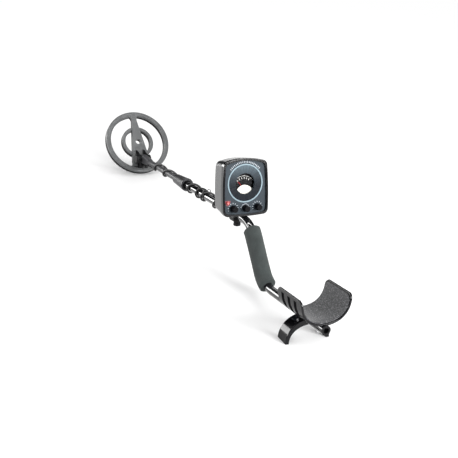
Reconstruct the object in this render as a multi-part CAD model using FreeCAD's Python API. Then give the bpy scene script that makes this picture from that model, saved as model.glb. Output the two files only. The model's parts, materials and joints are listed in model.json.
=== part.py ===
"""Metal detector: S-shaped handle with arm cuff, meter box, telescoping rod and 200 mm coil.

The pieces are modelled in the handle frame: origin at the centre of the tube's rear end, +Y
forward along the rear tube, +Z up and +X to the user's right, in millimetres. At the end every
piece is set down on the floor, where the detector stands on its two feet and the coil's rear
edge, and the origin moves to the centre of the footprint.
"""
import FreeCAD, Part
import math
import os

V = FreeCAD.Vector
X = V(1, 0, 0)
Y = V(0, 1, 0)
Z = V(0, 0, 1)

# ---- driving dimensions ----
TUBE_R = 10.0            # handle tube, outside
TUBE_BORE_R = 8.5
REAR_RUN = 237.0         # rear end to the lower bend, along the centre line
GRIP_RUN = 145.0         # lower bend to the upper bend
GRIP_ANGLE = 55.0
BEND_R = 60.0
PIVOT_RUN = 716.0        # upper bend to the coil pivot
TUBE_END_AT = 330.0      # tube's front end, measured back from the pivot
ROD_R = 8.45
ROD_BORE_R = 6.4
ROD_END_AT = 506.0       # rod's inner end, measured back from the pivot
EYE_R = 13.0
FOAM_R = 19.2
FOAM_FROM = 20.5         # degrees round the lower bend where the foam starts
FOAM_TO = 38.0           # degrees left of the upper bend where it stops
COIL_R = 100.0
COIL_BAND = 15.0
COIL_H = 20.0
COIL_SPLIT = -6.5        # joint face between the coil's two shells, below its top face
INNER_R = 50.0
INNER_BAND = 11.0
INNER_DROP = 2.5         # the inner ring's top is this far below the coil's top face
COIL_TILT = 57.7         # coil's forward direction above the shaft's
PIVOT_H = 20.0           # pivot above the coil's top face
PIVOT_BACK = 65.0        # pivot behind the coil's centre
CABLE_R = 2.6
GAP = 0.3                # clearance between neighbouring surfaces of different bodies
BOX_HALF_W = 56.8
BOX_TOP = 56.0
BOX_ARCH = 8.5           # the top edge's middle is this far above its corners
BOX_BOTTOM = -74.5
BOX_DEPTH = 46.0
BACK_INSET = 2.5         # the housing's back is this much narrower on each side
BOX_AT = V(0, 354.0, 201.5)   # centre of the dial ring, on the panel's face
BOX_TILT = 5.4           # panel leans back by this much
RING_R = 41.8
KNOB_X = 30.0
KNOB_U = -55.5
HUB_U = -13.0            # the meter needle's spindle, below the dial ring's centre
KNOB_R = 7.8
CORNER = 13.0            # corner radius of the box, seen from the front
CUFF_FLOOR = 14.8        # lining's surface above the tube's centre line
CUFF_TOP = 65.0
CUFF_Y = (0.8, 91.2)
STAND_Y = (58.0, 90.0)
STAND_HALF_W = 50.6      # the arch's half width at its feet
CUFF_SCREW_Y = (24.0, 76.0)
FOOT_Z = -46.0           # floor under the middle of the stand

# ---- derived places in the handle frame ----
BEND_T = BEND_R * math.tan(math.radians(GRIP_ANGLE / 2))
COS_GRIP = math.cos(math.radians(GRIP_ANGLE))
SIN_GRIP = math.sin(math.radians(GRIP_ANGLE))
LOW_BEND = V(0, REAR_RUN, 0)
TOP_BEND = LOW_BEND + V(0, COS_GRIP, SIN_GRIP) * GRIP_RUN
SHAFT_Z = TOP_BEND.z
PIVOT = TOP_BEND + Y * PIVOT_RUN
COIL_FWD = V(0, math.cos(math.radians(COIL_TILT)), math.sin(math.radians(COIL_TILT)))
COIL_UP = V(0, -COIL_FWD.z, COIL_FWD.y)
COIL_AT = PIVOT + COIL_FWD * PIVOT_BACK - COIL_UP * PIVOT_H
PANEL_UP = V(0, math.sin(math.radians(BOX_TILT)), math.cos(math.radians(BOX_TILT)))
PANEL_OUT = V(0, -PANEL_UP.z, PANEL_UP.y)
THUMB_Y = 386.0
SOCKET_AT = V(-14, -8, -BOX_DEPTH)     # cable socket on the box's back, in the panel's frame
COLLAR_FRONT = 276.0
COLLAR_REAR = 351.0
COLLAR_R = 17.5          # the lock collar's widest radius, at its rear
COIL_PLACE = FreeCAD.Placement(COIL_AT, FreeCAD.Rotation(X, COIL_TILT))
BOX_PLACE = FreeCAD.Placement(BOX_AT, FreeCAD.Rotation(X, 90 - BOX_TILT))


def station(distance, height=0.0, side=0.0):
    """A point on the shaft's axis, measured back from the coil pivot."""
    return PIVOT + V(side, -distance, height)


# ---- small shape helpers ----
def rod_shape(start, direction, radius, length):
    return Part.makeCylinder(radius, length, start, direction)


def ring_shape(start, direction, outer, inner, length):
    return rod_shape(start, direction, outer, length).cut(rod_shape(start, direction, inner, length))


def box_between(low, high):
    size = high - low
    return Part.makeBox(size.x, size.y, size.z, low)


def fuse_all(shapes):
    whole = shapes[0].multiFuse(shapes[1:]) if len(shapes) > 1 else shapes[0]
    return whole.removeSplitter()


def softened(shape, radius, wanted):
    """Fillet the edges whose middle point satisfies wanted(point, edge)."""
    edges = [e for e in shape.Edges if wanted(e.valueAt((e.FirstParameter + e.LastParameter) / 2), e)]
    return shape.makeFillet(radius, edges)


def face_from_points(points):
    return Part.Face(Part.makePolygon(points + [points[0]]))


def arc(first, middle, last):
    return Part.Arc(first, middle, last).toShape()


def line(first, last):
    return Part.LineSegment(first, last).toShape()


def swept(path, radius):
    """A round bar along a wire of lines and tangent arcs."""
    first = path.Edges[0]
    start = first.valueAt(first.FirstParameter)
    tangent = first.tangentAt(first.FirstParameter)
    profile = Part.Wire(Part.makeCircle(radius, start, tangent))
    return path.makePipeShell([profile], True, False)


def rounded_route(points):
    """Straight runs through the points, with an arc at each corner as large as its runs allow."""
    edges = []
    last = points[0]
    for before, corner, after in zip(points, points[1:], points[2:]):
        into = (corner - before).normalize()
        out = (after - corner).normalize()
        trim = 0.45 * min((corner - before).Length, (after - corner).Length)
        half_turn = into.getAngle(out) / 2
        radius = trim / math.tan(half_turn)
        start = corner - into * trim
        end = corner + out * trim
        inward = (out - into).normalize()
        middle = corner + inward * (radius / math.cos(half_turn) - radius)
        edges += [line(last, start), arc(start, middle, end)]
        last = end
    edges.append(line(last, points[-1]))
    return Part.Wire(edges)


# ---- handle tube ----
def lower_bend(angle):
    turn = math.radians(angle)
    return V(0, REAR_RUN - BEND_T + BEND_R * math.sin(turn), BEND_R * (1 - math.cos(turn)))


def upper_bend(angle):
    turn = math.radians(angle)
    return TOP_BEND + V(0, BEND_T - BEND_R * math.sin(turn), BEND_R * (math.cos(turn) - 1))


def bend_arc(bend, first, last):
    return arc(bend(first), bend((first + last) / 2), bend(last))


def handle_path(start_y, end_y):
    return Part.Wire([
        line(V(0, start_y, 0), lower_bend(0)),
        bend_arc(lower_bend, 0, GRIP_ANGLE),
        line(lower_bend(GRIP_ANGLE), upper_bend(GRIP_ANGLE)),
        bend_arc(upper_bend, GRIP_ANGLE, 0),
        line(upper_bend(0), V(0, end_y, SHAFT_Z)),
    ])


def make_handle():
    tube_end = station(TUBE_END_AT).y
    solid = swept(handle_path(0, tube_end), TUBE_R)
    bore = swept(handle_path(-1, tube_end + 1), TUBE_BORE_R)
    foam_path = Part.Wire([
        bend_arc(lower_bend, FOAM_FROM, GRIP_ANGLE),
        line(lower_bend(GRIP_ANGLE), upper_bend(GRIP_ANGLE)),
        bend_arc(upper_bend, GRIP_ANGLE, FOAM_TO),
    ])
    foam = swept(foam_path, FOAM_R)
    ends = (lower_bend(FOAM_FROM), upper_bend(FOAM_TO))
    foam = softened(foam, 3.0, lambda p, e: e.Closed and min(p.distanceToPoint(c) for c in ends) < FOAM_R + 1)
    foam = foam.cut(swept(handle_path(0, tube_end), TUBE_R + 0.05))
    plug = rod_shape(V(0, -2, 0), Y, TUBE_R, 2).fuse(rod_shape(V(0, -1, 0), Y, TUBE_BORE_R, 15))
    plug = plug.cut(rod_shape(V(0, -3, 0), Y, 6.2, 9))
    key = rod_shape(V(0, -2.6, TUBE_R - 1.2), Y, 3.4, 2.6)
    plug = fuse_all([plug, key])
    return {"handle_tube": solid.cut(bore), "foam_grip": foam, "tube_end_plug": plug}


# ---- arm cuff and stand ----
CUFF_R1 = 70.0
CUFF_R2 = 38.0
CUFF_TURN = 20.0
CUFF_LEAN = 80.0
CUFF_OUTER = 6.8         # the shell's outside, below the lining's surface


def cuff_side(offset, top):
    """Points of the cuff's section on +X, from the floor's middle to the wing's top."""
    turn = math.radians(CUFF_TURN)
    lean = math.radians(CUFF_LEAN)
    floor_centre = V(0, 0, CUFF_FLOOR + CUFF_R1)
    wall_centre = floor_centre + V(math.sin(turn), 0, -math.cos(turn)) * (CUFF_R1 - CUFF_R2)

    def out(centre, radius, angle):
        return centre + V(math.sin(angle), 0, -math.cos(angle)) * (radius + offset)

    wall_end = out(wall_centre, CUFF_R2, lean)
    rise = (top - wall_end.z) / math.sin(lean)
    return [
        out(floor_centre, CUFF_R1, 0),
        out(floor_centre, CUFF_R1, turn),
        out(wall_centre, CUFF_R2, (turn + lean) / 2),
        wall_end,
        wall_end + V(math.cos(lean), 0, math.sin(lean)) * rise,
    ]


def cuff_curve(offset, top):
    right = cuff_side(offset, top)
    left = [V(-p.x, p.y, p.z) for p in right]
    return [
        line(left[4], left[3]),
        arc(left[3], left[2], left[1]),
        arc(left[1], right[0], right[1]),
        arc(right[1], right[2], right[3]),
        line(right[3], right[4]),
    ]


def cuff_band(inner, outer, top, y_range):
    """A U-shaped band between two offsets of the cuff's section."""
    ends = [cuff_side(offset, top)[4] for offset in (inner, outer)]
    edges = cuff_curve(inner, top) + cuff_curve(outer, top)
    edges.append(line(ends[0], ends[1]))
    edges.append(line(V(-ends[0].x, 0, ends[0].z), V(-ends[1].x, 0, ends[1].z)))
    face = Part.Face(Part.Wire(Part.__sortEdges__(edges)))
    face.translate(Y * y_range[0])
    return face.extrude(Y * (y_range[1] - y_range[0]))


def side_window(y_range, top, radius):
    """A prism across X whose side view is a rectangle with its upper corners rounded."""
    low = -20.0
    block = box_between(V(-90, y_range[0], low), V(90, y_range[1], top))
    return softened(block, radius, lambda p, e: abs(p.x) < 1 and p.z > top - 1)


def make_cuff():
    low, high = CUFF_Y
    shell = cuff_band(2.2, CUFF_OUTER, CUFF_TOP, CUFF_Y)
    shell = shell.common(side_window(CUFF_Y, CUFF_TOP + 1, 14))
    shell = softened(shell, 1.4, lambda p, e: p.z > 20 or e.Length > 60)
    for centre in (23.0, 46.0, 69.0):
        channel = cuff_band(4.3, 10.0, CUFF_TOP - 7, (centre - 6.5, centre + 6.5))
        keep_middle = box_between(V(-20, low, 0), V(20, high, 40))
        shell = shell.cut(channel.cut(keep_middle))
    shell = shell.cut(rod_shape(V(0, low - 1, 0), Y, TUBE_R + 0.05, high - low + 2))
    lining = cuff_band(0.0, 2.0, CUFF_TOP - 3, (low + 2.5, high - 2.5))
    lining = lining.common(side_window((low + 2.5, high - 2.5), CUFF_TOP - 2.8, 12))
    screws = []
    for y in CUFF_SCREW_Y:
        head = rod_shape(V(0, y, 11.2), Z, 3.5, 1.3)
        shank = rod_shape(V(0, y, -14.4), Z, 2.0, 25.7)
        screws.append(shank.fuse(head))
    nuts = []
    for y in CUFF_SCREW_Y:
        nut = ring_shape(V(0, y, -13.6), Z, 3.6, 2.0, 4.2)
        nuts.append(nut.cut(rod_shape(V(0, y - 8, 0), Y, TUBE_R + 0.02, 16)))
    seats = [rod_shape(V(0, y, 11.2), Z, 3.6, 3) for y in CUFF_SCREW_Y]
    holes = [rod_shape(V(0, y, -20), Z, 2.05, 45) for y in CUFF_SCREW_Y]
    shell = shell.cut(Part.makeCompound(seats + holes))
    return {
        "cuff_shell": shell,
        "cuff_lining": lining,
        "cuff_screws": Part.makeCompound(screws),
        "cuff_nuts": Part.makeCompound(nuts),
    }, Part.makeCompound(holes)


def half_ellipse(centre_z, width, height, y_range):
    centre = V(0, y_range[0], centre_z)
    curve = Part.Ellipse(centre + X * width, centre + Z * height, centre)
    face = Part.Face(Part.Wire(curve.toShape()))
    return face.extrude(Y * (y_range[1] - y_range[0]))


def make_stand(floor_block):
    low, high = STAND_Y
    arch_z = -45.0
    outer = half_ellipse(arch_z, STAND_HALF_W, 45.0, STAND_Y)
    inner = half_ellipse(arch_z, STAND_HALF_W - 8.6, 31.3, (low - 1, high + 1))
    stand = softened(outer.cut(inner), 1.6, lambda p, e: abs(p.y - low) < 0.1 or abs(p.y - high) < 0.1)
    stand = stand.cut(floor_block)
    screw = V(0, CUFF_SCREW_Y[1], 0)
    boss = rod_shape(screw - Z * 15.2, Z, 6.5, 4.0)
    stand = stand.fuse(boss)
    stand = stand.cut(rod_shape(V(0, low - 1, 0), Y, TUBE_R + 0.05, high - low + 2))
    side = V(0, 66.0, -4.5)
    shank = rod_shape(side - X * 20.5, X, 1.5, 41)
    head = rod_shape(side - X * 21.6, X, 3.2, 1.8)
    nut = ring_shape(side + X * 18.6, X, 3.2, 1.5, 2.0)
    pockets = [
        rod_shape(side - X * 40, X, 3.4, 20.2),
        rod_shape(side + X * 18.6, X, 3.4, 20),
        rod_shape(side - X * 30, X, 1.55, 60),
        rod_shape(screw - Z * 30, Z, 3.7, 30 - 9.4),
        rod_shape(screw - Z * 30, Z, 2.05, 30),
    ]
    stand = stand.cut(Part.makeCompound(pockets))
    return {
        "stand": stand,
        "stand_fasteners": Part.makeCompound([shank.fuse(head), nut]),
    }, rod_shape(side - X * 30, X, 1.55, 60)


# ---- telescoping rod and its lock ----
def make_rod():
    eye_length = 60.0
    half = ROD_R
    points = [
        V(-half, PIVOT.y, PIVOT.z - EYE_R),
        V(-half, PIVOT.y - 16, PIVOT.z - EYE_R),
        V(-half, PIVOT.y - eye_length, PIVOT.z - half),
        V(-half, PIVOT.y - eye_length, PIVOT.z + half),
        V(-half, PIVOT.y - 16, PIVOT.z + EYE_R),
        V(-half, PIVOT.y, PIVOT.z + EYE_R),
    ]
    tongue = face_from_points(points).extrude(X * (2 * half))
    tongue = tongue.fuse(rod_shape(PIVOT - X * half, X, EYE_R, 2 * half)).removeSplitter()
    tongue = softened(tongue, 3.0, lambda p, e: abs(abs(p.x) - half) < 0.1 and p.y > PIVOT.y - eye_length + 1)
    bar = rod_shape(station(ROD_END_AT), Y, ROD_R, ROD_END_AT - 20)
    bore = rod_shape(station(ROD_END_AT + 1), Y, ROD_BORE_R, ROD_END_AT - 60)
    rod = fuse_all([tongue, bar]).cut(bore)
    rod = rod.cut(rod_shape(PIVOT - X * 20, X, 4.05, 40))
    return {"lower_rod": rod}


def revolved(profile, centre):
    """Revolve (station, radius) pairs about the shaft's axis."""
    points = [station(s, r) for s, r in profile]
    return face_from_points(points).revolve(centre, Y, 360)


def make_lock():
    collar = revolved([
        (COLLAR_FRONT, 8.9), (COLLAR_FRONT, 12.2), (COLLAR_FRONT + 1.5, 13.4), (318, 15.8),
        (COLLAR_REAR - 4, COLLAR_R), (COLLAR_REAR - 1, COLLAR_R), (COLLAR_REAR, COLLAR_R - 0.8),
        (COLLAR_REAR, 12.6),
        (290, 12.6), (284, 8.9),
    ], station(0))
    grooves = []
    for i in range(14):
        groove = rod_shape(station(COLLAR_REAR + 2, COLLAR_R + 1.7), Y, 2.4, 40)
        groove.rotate(station(0), Y, i * 360 / 14)
        grooves.append(groove)
    collar = collar.cut(Part.makeCompound(grooves))
    collet = revolved([
        (288, 8.5), (288, 9.6), (293, 12.2), (345, 12.2), (345, TUBE_R + 0.02),
        (TUBE_END_AT - 0.3, TUBE_R + 0.02), (TUBE_END_AT - 0.3, 8.5),
    ], station(0))
    for angle in (0, 90):
        slit = Part.makeBox(30, 26, 1.2, station(312, -0.6, -15))
        slit.rotate(station(0), Y, angle)
        collet = collet.cut(slit)
    return {"lock_collar": collar, "lock_collet": collet}


# ---- search coil, in the coil's own frame: +Y forward, +Z out of its top face ----
def spoke_outline(inset, height):
    """The spoke plate's outline: narrow in front, wide behind, flared where it meets the ring."""
    side = [(18.0, 86.5), (9.6, 79.0), (8.2, 68.0), (27.8, -62.0), (31.5, -75.0), (40.0, -80.0)]
    right = [V(x - inset, y, height) for x, y in side]
    left = [V(-p.x, p.y, p.z) for p in right]
    return Part.Face(Part.Wire([
        arc(right[0], right[1], right[2]),
        line(right[2], right[3]),
        arc(right[3], right[4], right[5]),
        line(right[5], left[5]),
        arc(left[5], left[4], left[3]),
        line(left[3], left[2]),
        arc(left[2], left[1], left[0]),
        line(left[0], right[0]),
    ]))


def coil_ring(outer, band, low, high):
    return ring_shape(V(0, 0, low), Z, outer, outer - band, high - low)


def plate_pocket(low, high):
    """The hollow inside the spoke plate, clear of the two rings and of the hole's wall."""
    pocket = spoke_outline(2.5, low).extrude(Z * (high - low))
    pocket = pocket.cut(rod_shape(V(0, 0, -30), Z, 11, 40))
    pocket = pocket.common(rod_shape(V(0, 0, -30), Z, COIL_R - COIL_BAND - 0.5, 40))
    return pocket.cut(coil_ring(INNER_R + 1, INNER_BAND + 2, -30, 10))


def make_coil():
    wall = 2.0
    plate_low = COIL_SPLIT - 7.0
    outer_top = coil_ring(COIL_R, COIL_BAND, COIL_SPLIT, 0)
    outer_top = softened(outer_top, 4.0, lambda p, e: p.z > -0.1)
    inner_top = coil_ring(INNER_R, INNER_BAND, COIL_SPLIT, -INNER_DROP)
    inner_top = softened(inner_top, 2.8, lambda p, e: p.z > -INNER_DROP - 0.1)
    plate = spoke_outline(0, COIL_SPLIT).extrude(Z * -COIL_SPLIT)
    top = fuse_all([outer_top, inner_top, plate])
    pocket = plate_pocket(COIL_SPLIT, -3.0)
    channels = [
        coil_ring(COIL_R - wall, COIL_BAND - 2 * wall, COIL_SPLIT, -3.0),
        coil_ring(INNER_R - wall, INNER_BAND - 2 * wall, COIL_SPLIT, -INNER_DROP - 2.5),
    ]
    hole = rod_shape(V(0, 0, -30), Z, 7.8, 40)
    top = top.cut(Part.makeCompound([pocket] + channels)).cut(hole)

    outer_low = coil_ring(COIL_R, COIL_BAND, -COIL_H, COIL_SPLIT)
    outer_low = softened(outer_low, 3.5, lambda p, e: p.z < -COIL_H + 0.1)
    inner_low = coil_ring(INNER_R, INNER_BAND, -COIL_H, COIL_SPLIT)
    inner_low = softened(inner_low, 2.5, lambda p, e: p.z < -COIL_H + 0.1)
    floor_plate = spoke_outline(0, plate_low).extrude(Z * (COIL_SPLIT - plate_low))
    low = fuse_all([outer_low, inner_low, floor_plate]).cut(hole)
    low = low.cut(plate_pocket(plate_low + wall, COIL_SPLIT))
    low_channels = [
        coil_ring(COIL_R - wall, COIL_BAND - 2 * wall, -COIL_H + wall, COIL_SPLIT),
        coil_ring(INNER_R - wall, INNER_BAND - 2 * wall, -COIL_H + wall, COIL_SPLIT),
    ]
    low = low.cut(Part.makeCompound(low_channels))
    winding_top = COIL_SPLIT + 1
    transmit = coil_ring(COIL_R - 4.5, COIL_BAND - 9.0, -COIL_H + wall, winding_top)
    receive = coil_ring(INNER_R - 3.0, INNER_BAND - 6.0, -COIL_H + wall, winding_top)

    pivot = V(0, -PIVOT_BACK, PIVOT_H)
    ear_in = 9.2
    ear_out = 13.4
    base = box_between(V(-ear_out - 2.5, -88, 0), V(ear_out + 2.5, -46, 3))
    base = softened(base, 3.0, lambda p, e: abs(p.z - 1.5) < 0.1)
    ears = []
    for side in (ear_in, -ear_out):
        outline = [(-29, 0), (-29, 2.5), (-58, 29), (-72, 29), (-88, 3), (-88, 0)]
        ear = face_from_points([V(side, y, z) for y, z in outline]).extrude(X * (ear_out - ear_in))
        boss = rod_shape(V(side, pivot.y, pivot.z), X, 11.5, ear_out - ear_in)
        window = face_from_points([V(side - 1, -83, 4.5), V(side - 1, -73, 4.5), V(side - 1, -76.5, 13)])
        ears.append(ear.fuse(boss).cut(window.extrude(X * 8)))
    clevis = fuse_all([base] + ears)
    clevis = clevis.cut(rod_shape(V(-30, pivot.y, pivot.z), X, 4.05, 60))
    gland_at = V(0, -84, 0)
    clevis = clevis.cut(rod_shape(gland_at, Z, 6.6, 10))
    fixing = []
    for x, y, head_r, shank_r in ((0, -50.5, 2.8, 1.5), (-7, -70, 2.2, 1.2), (7, -70, 2.2, 1.2)):
        head = rod_shape(V(x, y, 3), Z, head_r, 1.4)
        fixing.append(head.fuse(rod_shape(V(x, y, -2.6), Z, shank_r, 6)))
    screws = Part.makeCompound(fixing)
    clevis = clevis.cut(screws)
    top = top.cut(screws)

    across = V(-22.0, pivot.y, pivot.z)
    bolt_head = rod_shape(V(ear_out, pivot.y, pivot.z), X, 12.0, 7.5)
    bolt_head = softened(bolt_head, 2.0, lambda p, e: p.x > ear_out + 7)
    bolt_head = bolt_head.cut(rod_shape(V(ear_out + 5.5, pivot.y, pivot.z), X, 6.5, 5))
    bolt = fuse_all([rod_shape(across, X, 4.0, 22.0 + ear_out + 1), bolt_head])
    washers = [ring_shape(V(x, pivot.y, pivot.z), X, 11.0, 4.05, 0.65) for x in (8.5, -9.15)]
    knob = rod_shape(V(-26, pivot.y, pivot.z), X, 13.5, 12)
    knob = softened(knob, 2.0, lambda p, e: e.Closed)
    for i in range(6):
        scallop = rod_shape(V(-30, pivot.y, pivot.z + 17.2), X, 6.0, 20)
        scallop.rotate(pivot, X, 60 * i)
        knob = knob.cut(scallop)
    knob = knob.cut(rod_shape(V(-22.1, pivot.y, pivot.z), X, 4.06, 20))

    gland = rod_shape(gland_at, Z, 6.2, 2.5).fuse(Part.makeCone(5.4, 3.9, 6.5, gland_at + Z * 2.5, Z))
    gland = gland.cut(rod_shape(gland_at - Z, Z, CABLE_R + 0.02, 12))
    shapes = {
        "coil_top_shell": top,
        "coil_bottom_cover": low,
        "transmit_winding": transmit,
        "receive_winding": receive,
        "clevis": clevis,
        "clevis_screws": screws,
        "pivot_bolt": bolt,
        "friction_washers": Part.makeCompound(washers),
        "pivot_knob": knob,
        "cable_gland": gland,
    }
    for shape in shapes.values():
        shape.Placement = COIL_PLACE.multiply(shape.Placement)
    return shapes


# ---- control box, in the panel's own frame: +Y up the panel, +Z towards the user ----
def panel_outline(inset, height, bottom_inset=None):
    """The box's outline: barrel-shaped, with an arched top and a slightly bowed bottom."""
    low = inset if bottom_inset is None else bottom_inset
    half = BOX_HALF_W - inset
    top = BOX_TOP - inset
    bottom = BOX_BOTTOM + low
    corners = [
        V(half - 3.5, top - BOX_ARCH, height), V(half - 1.0, bottom + 2.5, height),
        V(-half + 1.0, bottom + 2.5, height), V(-half + 3.5, top - BOX_ARCH, height),
    ]
    edges = [
        arc(corners[3], V(0, top, height), corners[0]),
        arc(corners[0], V(half, -18, height), corners[1]),
        arc(corners[1], V(0, bottom, height), corners[2]),
        arc(corners[2], V(-half, -18, height), corners[3]),
    ]
    return Part.Wire(edges)


def panel_prism(inset, low, high, corner):
    prism = Part.Face(panel_outline(inset, low)).extrude(Z * (high - low))
    middle = (low + high) / 2
    return softened(prism, corner, lambda p, e: abs(p.z - middle) < 0.01)


def panel_loft(inset, low, high, low_inset, low_bottom, corner):
    """A body that narrows from the panel towards its back."""
    wires = [panel_outline(inset, high), panel_outline(low_inset, low, low_bottom)]
    loft = Part.makeLoft(wires, True, True)
    return softened(loft, corner, lambda p, e: abs(p.z - (low + high) / 2) < 1.0)


def knob_parts(x, u, pointer_angle):
    """A fluted knob with a pointer, its shaft and the control behind the panel."""
    centre = V(x, u, 0)
    knob = Part.makeCone(KNOB_R, KNOB_R - 1.1, 12.5, centre + Z * 1.2, Z)
    knob = softened(knob, 1.2, lambda p, e: e.Closed and p.z > 13)
    flutes = []
    for i in range(16):
        flute = rod_shape(centre + V(KNOB_R + 0.4, 0, 3.0), Z, 1.0, 12)
        flute.rotate(centre, Z, i * 22.5 + 11.25)
        flutes.append(flute)
    knob = knob.cut(Part.makeCompound(flutes))
    pointer = box_between(centre + V(-0.6, 0.5, 13.2), centre + V(0.6, KNOB_R - 1.6, 14.3))
    pointer.rotate(centre, Z, pointer_angle)
    knob = fuse_all([knob, pointer])
    shaft = rod_shape(centre - Z * 12, Z, 3.0, 21)
    knob = knob.cut(rod_shape(centre, Z, 3.0, 9))
    body = rod_shape(centre - Z * 14, Z, 8.3, 11).fuse(rod_shape(centre - Z * 4, Z, 4.0, 4.6))
    body = body.cut(rod_shape(centre - Z * 12.1, Z, 3.05, 20))
    return knob, shaft, body


def make_box(shaft_cut):
    front = 4.0
    panel_low = -3.0
    seam = -6.0
    back = -BOX_DEPTH
    bezel = panel_prism(0, seam, front, CORNER)
    bezel = softened(bezel, 1.3, lambda p, e: p.z > front - 0.1)
    bezel = bezel.cut(panel_prism(5.2, panel_low, front + 1, CORNER - 3))
    bezel = bezel.cut(panel_prism(8.5, seam - 1, panel_low, 5)).cut(shaft_cut)
    housing = panel_loft(0, back, seam, BACK_INSET, 9.0, CORNER)
    housing = softened(housing, 4.0, lambda p, e: p.z < back + 0.1)
    outer = housing.copy()
    wall = 2.6
    hollow = panel_loft(wall, back + wall, seam + 0.1, BACK_INSET + wall, 9.0 + 3 * wall, CORNER - 5)
    hollow = hollow.cut(box_between(V(-70, -90, back), V(70, BOX_BOTTOM + 7.5, 5)))
    housing = housing.cut(hollow).cut(shaft_cut)
    panel = panel_prism(5.4, panel_low, 0, CORNER - 3.2)

    window = V(0, -1.0, 0)
    window_r = 23.2
    hole_shapes = [rod_shape(window - Z * 5, Z, window_r, 10)]
    controls = {}
    places = (("left", -KNOB_X, KNOB_U, 40), ("switch", 0, KNOB_U - 1, 0), ("right", KNOB_X, KNOB_U, -35))
    for name, x, u, angle in places:
        knob, stem, body = knob_parts(x, u, angle)
        controls[name + "_knob"] = knob
        controls[name + "_shaft"] = stem
        controls[name + "_control"] = body
        hole_shapes.append(rod_shape(V(x, u, -5), Z, 4.05, 10))
    led_at = V(-43.5, -41.5, 0)
    hole_shapes.append(rod_shape(led_at - Z * 5, Z, 4.05, 10))
    panel = panel.cut(Part.makeCompound(hole_shapes))
    led = fuse_all([
        rod_shape(led_at - Z * 6, Z, 4.0, 8),
        rod_shape(led_at - Z * 6, Z, 4.4, 2.8),
        Part.makeSphere(4.0, led_at + Z * 2),
    ])
    ring = ring_shape(V(0, 0, 0), Z, RING_R + 1.6, RING_R - 1.6, 1.4)
    ring = softened(ring, 0.6, lambda p, e: p.z > 1.3)

    case_r = window_r + 4.2
    inside_r = case_r - 1.8
    case = ring_shape(window + Z * -24, Z, case_r, inside_r + 0.1, 21)
    case = case.fuse(rod_shape(window - Z * 25.5, Z, case_r, 1.6)).removeSplitter()
    lens = rod_shape(window - Z * 3.9, Z, window_r - 0.15, 3.6)
    lens = lens.fuse(rod_shape(window - Z * 3.9, Z, inside_r, 0.85))
    lens = lens.cut(rod_shape(window - Z * 4, Z, window_r - 0.9, 2.5)).removeSplitter()
    face_z = -8.0
    dial = rod_shape(window + Z * (face_z - 1.2), Z, inside_r, 1.2)
    mask = rod_shape(window + Z * (face_z + 2.8), Z, inside_r, 1.0)
    dome = rod_shape(window + V(0, -25.0, -20), Z, 21.4, 40)
    mask = mask.common(dome)
    hub = V(0, HUB_U, 0)
    movement = ring_shape(V(hub.x, hub.y, -22), Z, 9.0, 4.2, 8.5)
    needle_angle = 132.0
    blade = box_between(V(0, -0.35, 0), V(22.0, 0.35, 0.5))
    blade = fuse_all([blade, rod_shape(V(0, 0, 0), Z, 1.8, 0.6)])
    blade.rotate(V(0, 0, 0), Z, needle_angle)
    blade.translate(hub + Z * (face_z + 1.2))
    spindle = rod_shape(hub + Z * -20, Z, 0.6, 20 + face_z + 2.4)
    needle = fuse_all([blade, spindle])
    dial = dial.cut(rod_shape(hub - Z * 30, Z, 0.8, 40))

    board = box_between(V(-46, -25, -30.5), V(46, 30, -28.9))
    speaker_at = V(22, 12, back + wall + 0.3)
    speaker = Part.makeCone(19, 11, 6.5, speaker_at, Z)
    speaker = speaker.fuse(rod_shape(speaker_at + Z * 6.5, Z, 11, 4))
    cell_low = V(0.15, -54.8, back + wall + 0.6)
    cell = box_between(cell_low, cell_low + V(48.0, 26.2, 17.5))
    cell = softened(cell, 3.5, lambda p, e: abs(p.x - cell_low.x - 24) < 0.1)
    cell_l = cell.mirror(V(0, 0, 0), X)
    tray = box_between(V(-49.0, -55.2, cell_low.z + 17.6), V(49.0, -28.4, cell_low.z + 18.8))
    door_hole = box_between(V(-42, -50.2, back - 5), V(42, -28.5, back + wall + 0.3))
    door = box_between(V(-41.8, -50.0, back), V(41.8, -28.7, back + wall))
    door = softened(door, 3.0, lambda p, e: abs(p.z - back - wall / 2) < 0.01)
    door = fuse_all([door, box_between(V(-12, -32.0, back - 1.2), V(12, -30.0, back + 0.5))])
    housing = housing.cut(door_hole)
    grille = [rod_shape(speaker_at + V(5 * i, 5 * j, -6), Z, 1.3, 8)
              for i in (-2, -1, 0, 1, 2) for j in (-2, -1, 0, 1, 2) if abs(i) + abs(j) < 4]
    housing = housing.cut(Part.makeCompound(grille))

    jack_at = V(BOX_HALF_W - 8, -20, -19)
    jack = ring_shape(jack_at - X * 9, X, 5.5, 3.2, 19)
    jack = fuse_all([jack, ring_shape(jack_at + X * 6.2, X, 7.5, 3.2, 3.4)])
    jack_slot = rod_shape(jack_at - X * 2, X, 5.6, 20)
    housing = housing.cut(jack_slot)
    housing = housing.cut(rod_shape(jack_at + X * 6.1, X, 7.7, 10))

    socket_at = SOCKET_AT
    socket = ring_shape(socket_at - Z * 5, Z, 7.0, 5.05, 16)
    socket = fuse_all([socket, ring_shape(socket_at - Z * 1.6, Z, 9.5, 5.05, 1.6)])
    housing = housing.cut(rod_shape(socket_at - Z * 5, Z, 7.05, 12))
    plug = fuse_all([
        rod_shape(socket_at - Z * 30, Z, 5.0, 38),
        rod_shape(socket_at - Z * 30, Z, 6.0, 19),
        Part.makeCone(CABLE_R + 0.9, 5.0, 12, socket_at - Z * 42, Z),
    ])
    plug = plug.cut(rod_shape(socket_at - Z * 43, Z, CABLE_R + 0.02, 12))
    nut = ring_shape(socket_at - Z * 22, Z, 9.2, 6.05, 10.5)
    nut = fuse_all([nut, ring_shape(socket_at - Z * 12, Z, 9.2, 7.06, 7.5)])
    nut = nut.cut(rod_shape(socket_at - Z * 11.4, Z, 7.06, 10))

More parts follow.
